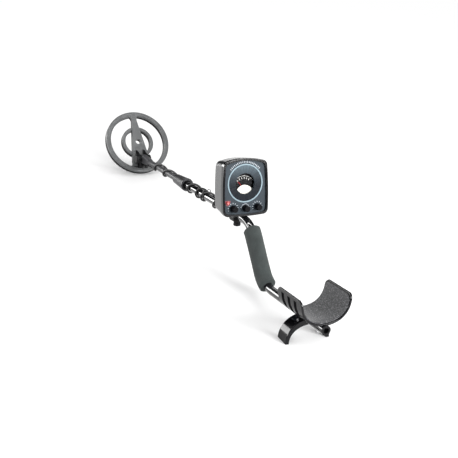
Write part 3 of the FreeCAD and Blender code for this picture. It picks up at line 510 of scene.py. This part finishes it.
MATERIALS = {
    "coil_grey": plastic("coil_grey_look", (0.085, 0.088, 0.090), 0.34,
                         grain=0.00004, grain_scale=1300, edge=1.5, shine=0.32),
    # Near black for the coil's lower shell and walls: partly its own dark plastic, partly painted shade for the
    # shadow on the walls.
    "coil_black": plastic("coil_black_and_shade_look", (0.004, 0.004, 0.005), 0.34, edge=3.0, shine=0.05),
    "copper": winding_material(),
    "black_plastic": plastic("black_plastic_look", (0.007, 0.007, 0.008), 0.36,
                             edge=3.5, shine=0.15),
    "steel": metal("steel_look", (0.55, 0.55, 0.56), 0.28),
    "rubber": rubber("rubber_look", (0.012, 0.012, 0.013)),
    "cable": rubber("cable_look", (0.010, 0.010, 0.011), 0.38, sheen=0.05),
    "rod_grey": plastic("rod_grey_look", (0.052, 0.052, 0.056), 0.34, edge=1.6),
    "collar_grey": plastic("collar_grey_look", (0.026, 0.026, 0.029), 0.36, edge=2.6),
    "tube_black": gloss("tube_black_look", (0.006, 0.006, 0.007), 0.1, peel=0.00006, coat=1.0),
    "foam": foam_material(),
    "gloss_black": gloss("gloss_black_look", (0.003, 0.003, 0.004), 0.1,
                         peel=0.00004, coat=0.2),
    "lining": lining_material(),
    "housing_black": plastic("housing_look", (0.014, 0.015, 0.017), 0.3,
                             grain=0.000025, grain_scale=1700, edge=3.0, coat=0.85),
    "bezel_black": gloss("bezel_look", (0.005, 0.005, 0.006), 0.13, peel=0.00003, coat=0.8),
    "panel_slate": panel_material(),
    "ring_pale": plastic("ring_look", (0.20, 0.27, 0.31), 0.4,
                         grain=0.00001, grain_scale=1700, edge=1.2),
    "clear_lens": glass_material("lens_look", (0.004, 0.005, 0.006), alpha=0.04),
    "dial_black": print_material("dial_black_look", (0.004, 0.004, 0.005)),
    # Painted light: the white card glows though it is no lamp, to stay bright in its shaded recess.
    "dial_white": print_material("dial_white_painted_glow_look", (0.88, 0.86, 0.79), glow=0.14),
    "needle_red": print_material("needle_look", (0.62, 0.02, 0.03)),
    "lamp_red": lamp_material(),
    "brass": metal("brass_look", (0.72, 0.52, 0.22), 0.3),
    "board_green": board_material(),
    "speaker_steel": metal("plain_steel_look", (0.28, 0.28, 0.29), 0.4),
    "battery": battery_material(),
    "knob_black": plastic("knob_look", (0.003, 0.003, 0.004), 0.3, edge=4.0, shine=0.06),
}
for row in frame["record"]["subparts"]:
    mesh = NODES[row["node"]].data
    mesh.materials.clear()
    mesh.materials.append(MATERIALS[row["material_slot"]])


def finish_piece(piece, slot, body, *replaced):
    """Gives a piece the material of its slot, attaches it to its body and hides the CAD nodes that it stands for.
    """
    piece.data.materials.append(MATERIALS[slot])
    if body:
        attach(piece, body)
    if replaced:
        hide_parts(*replaced)
    return piece


# ---- foam grip ----
FOAM_ROUND = 3.4         # millimetres: how far the sleeve's ends are rounded
FOAM_WAIST = 0.35        # how much smaller its radius is halfway along
FOAM_LUMPS = 0.22        # the height of its broad unevenness
FOAM_FINE = 0.09         # the height of its fine unevenness
LUMP_SCALE = 3.1
LUMP_STRETCH = 40        # per metre along the sleeve, where a radius round it counts as 1
FINE_SCALE = 9           # how many times finer the fine unevenness is
END_INSET = 0.01         # how far each end is moved in along the tube
FOAM_RING_GAP = 0.0018   # metres between the mesh's rings
FOAM_SIDES = 72


def bend_point(corner_y, corner_z, sign, angle):
    """A point on one of the handle's two bends, by how far the tube has turned there."""
    turn = math.radians(angle)
    along = BEND_T - BEND_R * math.sin(turn)
    rise = BEND_R * (1 - math.cos(turn))
    return at(0, corner_y - sign * along, corner_z + sign * rise)


def grip_line():
    """The sleeve's centre line: the end of the lower bend, the straight, and the upper bend."""
    bend_steps, run_steps = 12, 30
    low = [bend_point(REAR_RUN, 0, 1, FOAM_FROM + (GRIP_ANGLE - FOAM_FROM) * i / bend_steps)
           for i in range(bend_steps + 1)]
    top_y = REAR_RUN + GRIP_RUN * GRIP_COS
    high = [bend_point(top_y, SHAFT_Z, -1, GRIP_ANGLE - (GRIP_ANGLE - FOAM_TO) * i / bend_steps)
            for i in range(bend_steps + 1)]
    run = [low[-1].lerp(high[0], i / run_steps) for i in range(1, run_steps)]
    return even_line(low + run + high, FOAM_RING_GAP)


def make_foam_grip():
    line = grip_line()
    end_round = FOAM_ROUND * MM

    def radius_at(travelled, length, turn):
        from_end = min(travelled, length - travelled)
        radius = FOAM_R * MM
        if from_end < end_round:
            share = 1 - from_end / end_round
            radius -= end_round * (1 - math.sqrt(max(0.0, 1 - share * share)))
        waist = FOAM_WAIST * MM * math.sin(math.pi * travelled / length) ** 2
        where = Vector((math.cos(turn), math.sin(turn), travelled * LUMP_STRETCH)) * LUMP_SCALE
        lumps = noise.noise(where) * FOAM_LUMPS * MM
        fine = noise.noise(where * FINE_SCALE) * FOAM_FINE * MM
        return radius - waist + lumps + fine

    inward = [(line[1] - line[0]).normalized(), (line[-2] - line[-1]).normalized()]
    start = line[0] + inward[0] * END_INSET * MM
    end = line[-1] + inward[1] * END_INSET * MM
    line = [start] + line[1:-1] + [end]
    piece = tube_along("foam_sleeve", line, radius_at, FOAM_SIDES)
    finish_piece(piece, "foam", "handle", "foam_grip")


# ---- cuff pad ----
CUFF_FLOOR = 14.8        # millimetres, as on the CAD model's cuff
CUFF_R1 = 70.0
CUFF_R2 = 38.0
CUFF_TURN = 20.0
CUFF_LEAN = 80.0
PAD_TOP = 62.0
PAD_Y = (3.3, 88.7)
PAD_CORNER = 12.0
PAD_THICK = 2.0
PAD_ACROSS = 150         # the mesh's cells across the section and along the pad
PAD_ALONG = 72
PAD_TOP_RUN = 92.0       # more than the half section's 78, so the wings' tops roll over tighter
PAD_LIP = 2.2            # how far in from its edge the pad rolls over
PAD_CROWN = 0.55         # how far it rises in the middle
PAD_CROWN_RUN = 16.0     # how far in from its edge it reaches that height
PEBBLE_PLACE = (46, 34, 0.4)             # the noise's reach over and along the pad, and its slice
PEBBLES = ((0.55, 0.16), (2.1, 0.07))    # each layer's scale and height


def cuff_section(share, offset):
    """A point of the cuff's section. share runs from -1, the left wing's top, to 1, the right's."""
    turn = math.radians(CUFF_TURN)
    lean = math.radians(CUFF_LEAN)
    floor_z = CUFF_FLOOR + CUFF_R1
    wall_x = math.sin(turn) * (CUFF_R1 - CUFF_R2)
    wall_z = floor_z - math.cos(turn) * (CUFF_R1 - CUFF_R2)
    end_z = wall_z - CUFF_R2 * math.cos(lean)
    rise = (PAD_TOP - end_z) / math.sin(lean)
    lengths = (CUFF_R1 * turn, CUFF_R2 * (lean - turn), rise)
    walked = abs(share) * sum(lengths)
    if walked <= lengths[0]:
        angle = walked / CUFF_R1
        x = math.sin(angle) * (CUFF_R1 + offset)
        z = floor_z - math.cos(angle) * (CUFF_R1 + offset)
    elif walked <= lengths[0] + lengths[1]:
        angle = turn + (walked - lengths[0]) / CUFF_R2
        x = wall_x + math.sin(angle) * (CUFF_R2 + offset)
        z = wall_z - math.cos(angle) * (CUFF_R2 + offset)
    else:
        beyond = walked - lengths[0] - lengths[1]
        x = wall_x + math.sin(lean) * (CUFF_R2 + offset) + math.cos(lean) * beyond
        z = wall_z - math.cos(lean) * (CUFF_R2 + offset) + math.sin(lean) * beyond
    return (x if share >= 0 else -x), z


def pad_ends(share):
    """How far the pad runs forward and back at a place of its section, round its corners."""
    _, z = cuff_section(share, 0)
    above = z - (PAD_TOP - PAD_CORNER)
    inset = 0.0
    if above > 0:
        inset = PAD_CORNER - math.sqrt(max(0.0, PAD_CORNER ** 2 - min(above, PAD_CORNER) ** 2))
    return PAD_Y[0] + inset, PAD_Y[1] - inset


def make_cuff_pad():
    def build(bm):
        rows = []
        for side in ("arm", "shell"):
            grid = []
            for i in range(PAD_ACROSS + 1):
                share = -1 + 2 * i / PAD_ACROSS
                low, high = pad_ends(share)
                row = []
                for j in range(PAD_ALONG + 1):
                    forward = j / PAD_ALONG
                    y = low + (high - low) * forward
                    edge = min(y - low, high - y, (1 - abs(share)) * PAD_TOP_RUN)
                    at_lip = min(edge, PAD_LIP) / PAD_LIP
                    roll = 1 - math.sqrt(max(0.0, 1 - (1 - at_lip) ** 2))
                    if side == "arm":
                        crown = PAD_CROWN * min(1.0, edge / PAD_CROWN_RUN)
                        over, onward, deep = PEBBLE_PLACE
                        where = Vector((share * over, forward * onward, deep))
                        pebble = sum(noise.noise(where * scale) * tall for scale, tall in PEBBLES)
                        offset = -crown - pebble * min(1.0, edge / PAD_LIP) + roll * PAD_THICK * 0.8
                    else:
                        offset = PAD_THICK
                    x, z = cuff_section(share, offset)
                    row.append(bm.verts.new(at(x, y, z)))
                grid.append(row)
            rows.append(grid)
            for i in range(PAD_ACROSS):
                for j in range(PAD_ALONG):
                    bm.faces.new((grid[i][j], grid[i + 1][j], grid[i + 1][j + 1], grid[i][j + 1]))
        rim_upper, rim_lower = (border(grid) for grid in rows)
        for k, _ in enumerate(rim_upper):
            m = (k + 1) % len(rim_upper)
            bm.faces.new((rim_upper[k], rim_upper[m], rim_lower[m], rim_lower[k]))

    piece = mesh_object("cuff_pad", build, 50)
    finish_piece(piece, "lining", "handle", "cuff_lining")


def border(grid):
    """The outer points of a grid, in order."""
    rim = list(grid[0])
    rim += [row[-1] for row in grid[1:]]
    rim += list(reversed(grid[-1]))[1:]
    rim += [row[0] for row in reversed(grid[1:-1])]
    return rim


# ---- cable ----
WRAP_ANGLE = 235.0       # degrees round the shaft where each turn starts
WRAP_STEP = 40           # degrees between the points of a turn
WRAP_LAG = 20.0          # degrees after its start where a turn moves along slowest
WRAP_DWELL = 0.8         # how uneven a turn's pitch is, from 0, even
SPLINE_DRAW = 0.94       # the smooth line runs at this share of its control points' radius
ROD_WRAP_R = (ROD_R + CABLE_R + GAP) / SPLINE_DRAW
TUBE_WRAP_R = (TUBE_R + CABLE_R + GAP) / SPLINE_DRAW
COIL_AHEAD = 65.0        # the coil's centre from its pivot
COIL_BELOW = 20.0
GLAND_BACK = 84.0        # the gland from the coil's centre
BESIDE = -14.0           # degrees: where the cable passes the collar
CABLE_RING_GAP = 0.0015  # metres between the mesh's rings
CABLE_SIDES = 20


def wrap_point(distance, angle, radius):
    turn = math.radians(angle)
    return station(distance, radius * math.sin(turn), radius * math.cos(turn))


def wrap_turn(first, last, radius, turned_to=360 - WRAP_STEP):
    """Points of one turn, quick across the front and slow along the upper right."""
    points = []
    for turned in range(0, turned_to + 1, WRAP_STEP):
        lag = math.sin(math.radians(turned - WRAP_LAG)) + math.sin(math.radians(WRAP_LAG))
        share = turned / 360 - WRAP_DWELL * lag / (2 * math.pi)
        points.append(wrap_point(first + (last - first) * share, WRAP_ANGLE - turned, radius))
    return points


def cable_routes():
    """The cable's three stretches: coil lead, turns on the rod, turns on the tube to the plug."""
    coil_up = -Vector(MOUNTS["coil_underside"]["axis"])
    coil_forward = coil_up.cross(RIGHT)
    coil_at = PIVOT + (coil_forward * COIL_AHEAD - coil_up * COIL_BELOW) * MM
    gland = [coil_at + (coil_forward * -GLAND_BACK + coil_up * height) * MM for height in (0, 17)]
    under = -(ROD_R + CABLE_R + GAP)
    lead = [*gland, station(28, -17.0), station(64, under), station(98, under)]
    rod = [station(98, under), station(110, under)]
    rod += wrap_turn(124, 196, ROD_WRAP_R)
    rod += wrap_turn(196, 284, ROD_WRAP_R, 200)
    pass_r = COLLAR_R + CABLE_R + 1.0
    rod += [wrap_point(254, BESIDE, 15.5)]
    rod += [wrap_point(distance, BESIDE, pass_r) for distance in (265, 276)]
    tube = [wrap_point(distance, BESIDE, pass_r) for distance in (276, 318)]
    tube += [wrap_point(357, BESIDE - 3, pass_r)]
    tube += [wrap_point(367, -50, 18.5), wrap_point(375, -88, 15.5)]
    for first, last in ((381, 436), (436, 468), (468, 537)):
        tube += wrap_turn(first, last, TUBE_WRAP_R)
    tube += [wrap_point(537 + 6 * i, WRAP_ANGLE - WRAP_STEP * i, TUBE_WRAP_R) for i in (0, 1, 2)]
    socket = on_panel(-14, -8, -46)
    inside, end, beyond = (socket - PANEL_OUT * depth * MM for depth in (31, 42, 52))
    tube += [wrap_point(555, 115, 16.5)]
    tube += [station(560, 27, -5), station(563, 44, -7), station(573, 61, -11)]
    tube += [beyond, end, inside]
    return lead, rod, tube


def make_cables():
    lead, rod, tube = cable_routes()

    def radius_at(travelled, length, turn):
        return CABLE_R * MM

    stretches = (("coil_lead_jacket", lead, "coil_lead"),
                 ("rod_cable_jacket", rod, "rod_cable"),
                 ("tube_cable_jacket", tube, "tube_cable"))
    for name, route, node in stretches:
        line = even_line(smooth_line(route), CABLE_RING_GAP)
        piece = tube_along(name, line, radius_at, CABLE_SIDES)
        if node == "coil_lead":
            finish_piece(piece, "cable", None, node)
            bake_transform(piece)
        elif node == "rod_cable":
            finish_piece(piece, "cable", None, node)
            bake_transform(piece)
        else:
            finish_piece(piece, "cable", "handle", node)


# ---- printing on the panel and the dial ----
def bar(bm, x, u, angle, long, wide, low, high):
    """A small raised mark centred on a point of the panel, long along the angle."""
    turn = math.radians(angle)
    ways = Vector((math.cos(turn), math.sin(turn))), Vector((-math.sin(turn), math.cos(turn)))
    outline = []
    corner = min(long, wide) * 0.25
    for i, j in ((1, 1), (-1, 1), (-1, -1), (1, -1)):
        trims = ((0, corner), (corner, 0)) if i * j > 0 else ((corner, 0), (0, corner))
        for trim_long, trim_wide in trims:
            spot = ways[0] * i * (long / 2 - trim_long) + ways[1] * j * (wide / 2 - trim_wide)
            outline.append((x + spot.x, u + spot.y))
    prism(bm, outline, low, high)


def prism(bm, outline, low, high):
    under = [bm.verts.new(on_panel(x, u, low)) for x, u in outline]
    over = [bm.verts.new(on_panel(x, u, high)) for x, u in outline]
    bm.faces.new(over)
    bm.faces.new(list(reversed(under)))
    for i, _ in enumerate(outline):
        j = (i + 1) % len(outline)
        bm.faces.new((under[i], under[j], over[j], over[i]))


def tick(bm, x, u, radius, angle, long, wide, low, high):
    """A mark that points away from a point of the panel, at a radius and an angle from it."""
    turn = math.radians(angle)
    spot = x + radius * math.cos(turn), u + radius * math.sin(turn)
    bar(bm, *spot, angle, long, wide, low, high)


def arc_band(bm, x, u, radius, wide, first, last, low, high):
    """A thin curved line on the panel."""
    steps = max(8, int(abs(last - first) / 4))
    outer, inner = [], []
    for i in range(steps + 1):
        turn = math.radians(first + (last - first) * i / steps)
        for ring, r in ((outer, radius + wide / 2), (inner, radius - wide / 2)):
            ring.append((x + r * math.cos(turn), u + r * math.sin(turn)))
    for i in range(steps):
        prism(bm, [outer[i], outer[i + 1], inner[i + 1], inner[i]], low, high)


PRINT_LOW = -0.02        # millimetres from the surface that the ink is on
PRINT_HIGH = 0.12
KNOB_X = 30.0
KNOB_U = -55.5
WINDOW_U = -1.0          # the meter window's centre is this far below the dial ring's
TOP_TICKS = 20           # a plain arc over the dial; angles are in degrees
TOP_TICK_R = 47.4
TOP_TICK_FROM = 42.5
TOP_TICK_STEP = 5
KNOB_TICKS = 9
KNOB_TICK_R = 11.8
KNOB_TICK_FROM = -20
KNOB_TICK_STEP = 27.5
METER_TICKS = 6
METER_TICK_R = 23.5
METER_TICK_FROM = 130
METER_TICK_STEP = 14.6
LAMP_X = -43.5
LAMP_U = -41.5
LAMP_MARK_R = 6.8        # the red mark's mean reach from its centre
LAMP_MARK_CORNER = 1.3   # how much further its corners reach
LAMP_MARK_SQUASH = 0.86  # its reach up and down, against its reach across


def make_panel_print():
    """Plain ticks and arcs on the panel, over the dial and round the knobs."""
    def build(bm):
        for i in range(TOP_TICKS):
            angle = TOP_TICK_FROM + TOP_TICK_STEP * i
            tall = 3.4 if i % 2 else 4.2
            tick(bm, 0, 0, TOP_TICK_R, angle, tall, 1.6, PRINT_LOW, PRINT_HIGH)
        for centre in (-KNOB_X, KNOB_X):
            for i in range(KNOB_TICKS):
                angle = KNOB_TICK_FROM + KNOB_TICK_STEP * i
                tick(bm, centre, KNOB_U, KNOB_TICK_R, angle, 2.6, 1.3, PRINT_LOW, PRINT_HIGH)
        arc_band(bm, 0, KNOB_U - 1, 9.9, 0.8, 5, 175, PRINT_LOW, PRINT_HIGH)
        bar(bm, 12.2, KNOB_U + 2, 0, 1.5, 1.5, PRINT_LOW, PRINT_HIGH)
        bar(bm, -11.8, KNOB_U + 2, 0, 0.6, 1.8, PRINT_LOW, PRINT_HIGH)

    piece = mesh_object("panel_printing", build)
    piece.data.materials.append(print_material("white_ink_look", (0.52, 0.56, 0.60)))
    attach(piece, "handle")


def make_lamp_mark():
    """A red mark behind the lamp, a triangle with rounded corners: partly print, partly painted light standing in
    for the lamp's red glow on the panel.
    """
    def build(bm):
        outline = []
        steps = 30
        for i in range(steps):
            turn = 2 * math.pi * i / steps
            reach = LAMP_MARK_R + LAMP_MARK_CORNER * math.cos(3 * (turn + math.pi / 2))
            outline.append((LAMP_X + reach * math.cos(turn),
                            LAMP_U + reach * LAMP_MARK_SQUASH * math.sin(turn)))
        prism(bm, outline, PRINT_LOW, PRINT_HIGH)

    piece = mesh_object("lamp_mark", build)
    # Painted light in part: this red also stands in for the lamp's glow on the panel.
    piece.data.materials.append(print_material("red_ink_and_glow_look", (0.22, 0.065, 0.075)))
    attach(piece, "handle")


def make_dial_plate():
    """The polished dark plate between the dial ring and the meter's window."""
    outer, inner, low, high = 40.1, 23.4, 0.0, 0.35
    steps = 160

    def build(bm):
        rings = []
        profile = ((inner, low), (inner, high - 0.12), (inner + 0.15, high),
                   (outer - 0.15, high), (outer, high - 0.1), (outer, low))
        for i in range(steps):
            turn = 2 * math.pi * i / steps
            ring = []
            for r, h in profile:
                drop = WINDOW_U * (outer - r) / (outer - inner)
                ring.append(on_panel(r * math.cos(turn), r * math.sin(turn) + drop, h))
            rings.append(ring)
        rows = [[bm.verts.new(p) for p in ring] for ring in rings]
        count = len(profile)
        for i in range(steps):
            a, b = rows[i], rows[(i + 1) % steps]
            for j in range(count):
                k = (j + 1) % count
                bm.faces.new((a[j], a[k], b[k], b[j]))

    piece = mesh_object("dial_plate", build, 15)
    piece.data.materials.append(dial_material())
    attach(piece, "handle")


def make_meter_scale():
    """White ticks and a fine arc on the meter's face, round the needle's hub."""
    face = -8.0

    def build(bm):
        for i in range(METER_TICKS):
            angle = METER_TICK_FROM - METER_TICK_STEP * i
            tick(bm, 0, HUB_U, METER_TICK_R, angle, 4.0, 1.6, face - 0.02, face + 0.1)
        arc_band(bm, 0, HUB_U, 28.4, 0.8, 40, 122, face - 0.02, face + 0.1)

    piece = mesh_object("meter_scale", build)
    piece.data.materials.append(print_material("scale_ink_look", (0.66, 0.66, 0.64)))
    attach(piece, "handle")


make_foam_grip()
make_cuff_pad()
make_cables()
make_panel_print()
make_lamp_mark()
make_dial_plate()
make_meter_scale()


# ---- studio ----
FLOOR_HALF = 40.0        # metres
CAMERA_LENS = 56.28
CAMERA_AT = (-713.96, -1020.17, 575.26)      # millimetres from the tube's rear end
CAMERA_RIGHT = (0.90102, -0.43232, 0.03563)  # its axes, as shares of right, forward and up
CAMERA_UP = (0.09793, 0.28273, 0.95419)


def make_floor():
    def build(bm):
        half = FLOOR_HALF
        for x, y in ((-half, -half), (half, -half), (half, half), (-half, half)):
            bm.verts.new((x, y, 0.0))
        bm.faces.new(bm.verts)

    floor = mesh_object("studio_floor", build)
    look = Look("floor_look", (0.88, 0.88, 0.88), 0.95, Specular_IOR_Level=0.0)
    floor.data.materials.append(look.material)


def softbox(name, at_point, aim, size, power, glint_only=False):
    """A rectangular lamp. A glint-only one shows in reflections but adds no fill light."""
    data = bpy.data.lights.new(name, "AREA")
    data.shape = "RECTANGLE"
    data.size, data.size_y = size
    data.energy = power
    lamp = bpy.data.objects.new(name, data)
    bpy.context.scene.collection.objects.link(lamp)
    lamp.location = at_point
    lamp.rotation_euler = (Vector(aim) - Vector(at_point)).to_track_quat("-Z", "Y").to_euler()
    lamp.visible_diffuse = not glint_only


def make_studio():
    world = bpy.data.worlds.new("studio")
    world.use_nodes = True
    world.node_tree.nodes["Background"].inputs["Color"].default_value = (1.0, 1.0, 1.0, 1.0)
    world.node_tree.nodes["Background"].inputs["Strength"].default_value = 1.0
    world.cycles_visibility.glossy = False
    bpy.context.scene.world = world
    sky = bpy.data.lights.new("soft_sky", "SUN")
    sky.energy = 0.45
    sky.angle = math.radians(150)
    sky_lamp = bpy.data.objects.new("soft_sky", sky)
    bpy.context.scene.collection.objects.link(sky_lamp)
    sky_lamp.rotation_euler = (math.radians(-14), math.radians(-20), 0)
    sky_lamp.visible_glossy = False
    middle = (0, -0.05, 0.12)
    softbox("top_strip", (-0.3, 0.1, 1.6), middle, (0.16, 2.4), 28, True)
    softbox("left_low", (-1.6, -0.3, 0.42), middle, (1.7, 0.34), 30, True)
    softbox("left_high", (-1.5, 0.3, 1.3), middle, (1.2, 0.5), 14, True)
    softbox("far_left", (-1.3, 1.2, 0.40), (0, 0, 0.05), (1.6, 0.7), 50, True)
    softbox("behind_right", (0.95, -2.1, 0.9), (0, -0.2, 0.22), (1.0, 0.9), 60)
    softbox("front_rim", (0.9, 1.9, 1.1), middle, (1.4, 0.3), 4, True)


def make_camera():
    """The view from behind, above and to the left of the person holding the handle."""
    data = bpy.data.cameras.new("camera")
    data.sensor_width = 36.0
    data.lens = CAMERA_LENS
    camera = bpy.data.objects.new("camera", data)
    bpy.context.scene.collection.objects.link(camera)
    right, up = (RIGHT * x + FORWARD * y + UPWARD * z for x, y, z in (CAMERA_RIGHT, CAMERA_UP))
    back = right.cross(up).normalized()
    up = back.cross(right).normalized()
    turned = Matrix((right, up, back)).transposed().to_4x4()
    camera.matrix_world = Matrix.Translation(at(*CAMERA_AT)) @ turned
    bpy.context.scene.camera = camera


make_floor()
make_studio()
make_camera()
bpy.context.scene.view_settings.view_transform = "Standard"
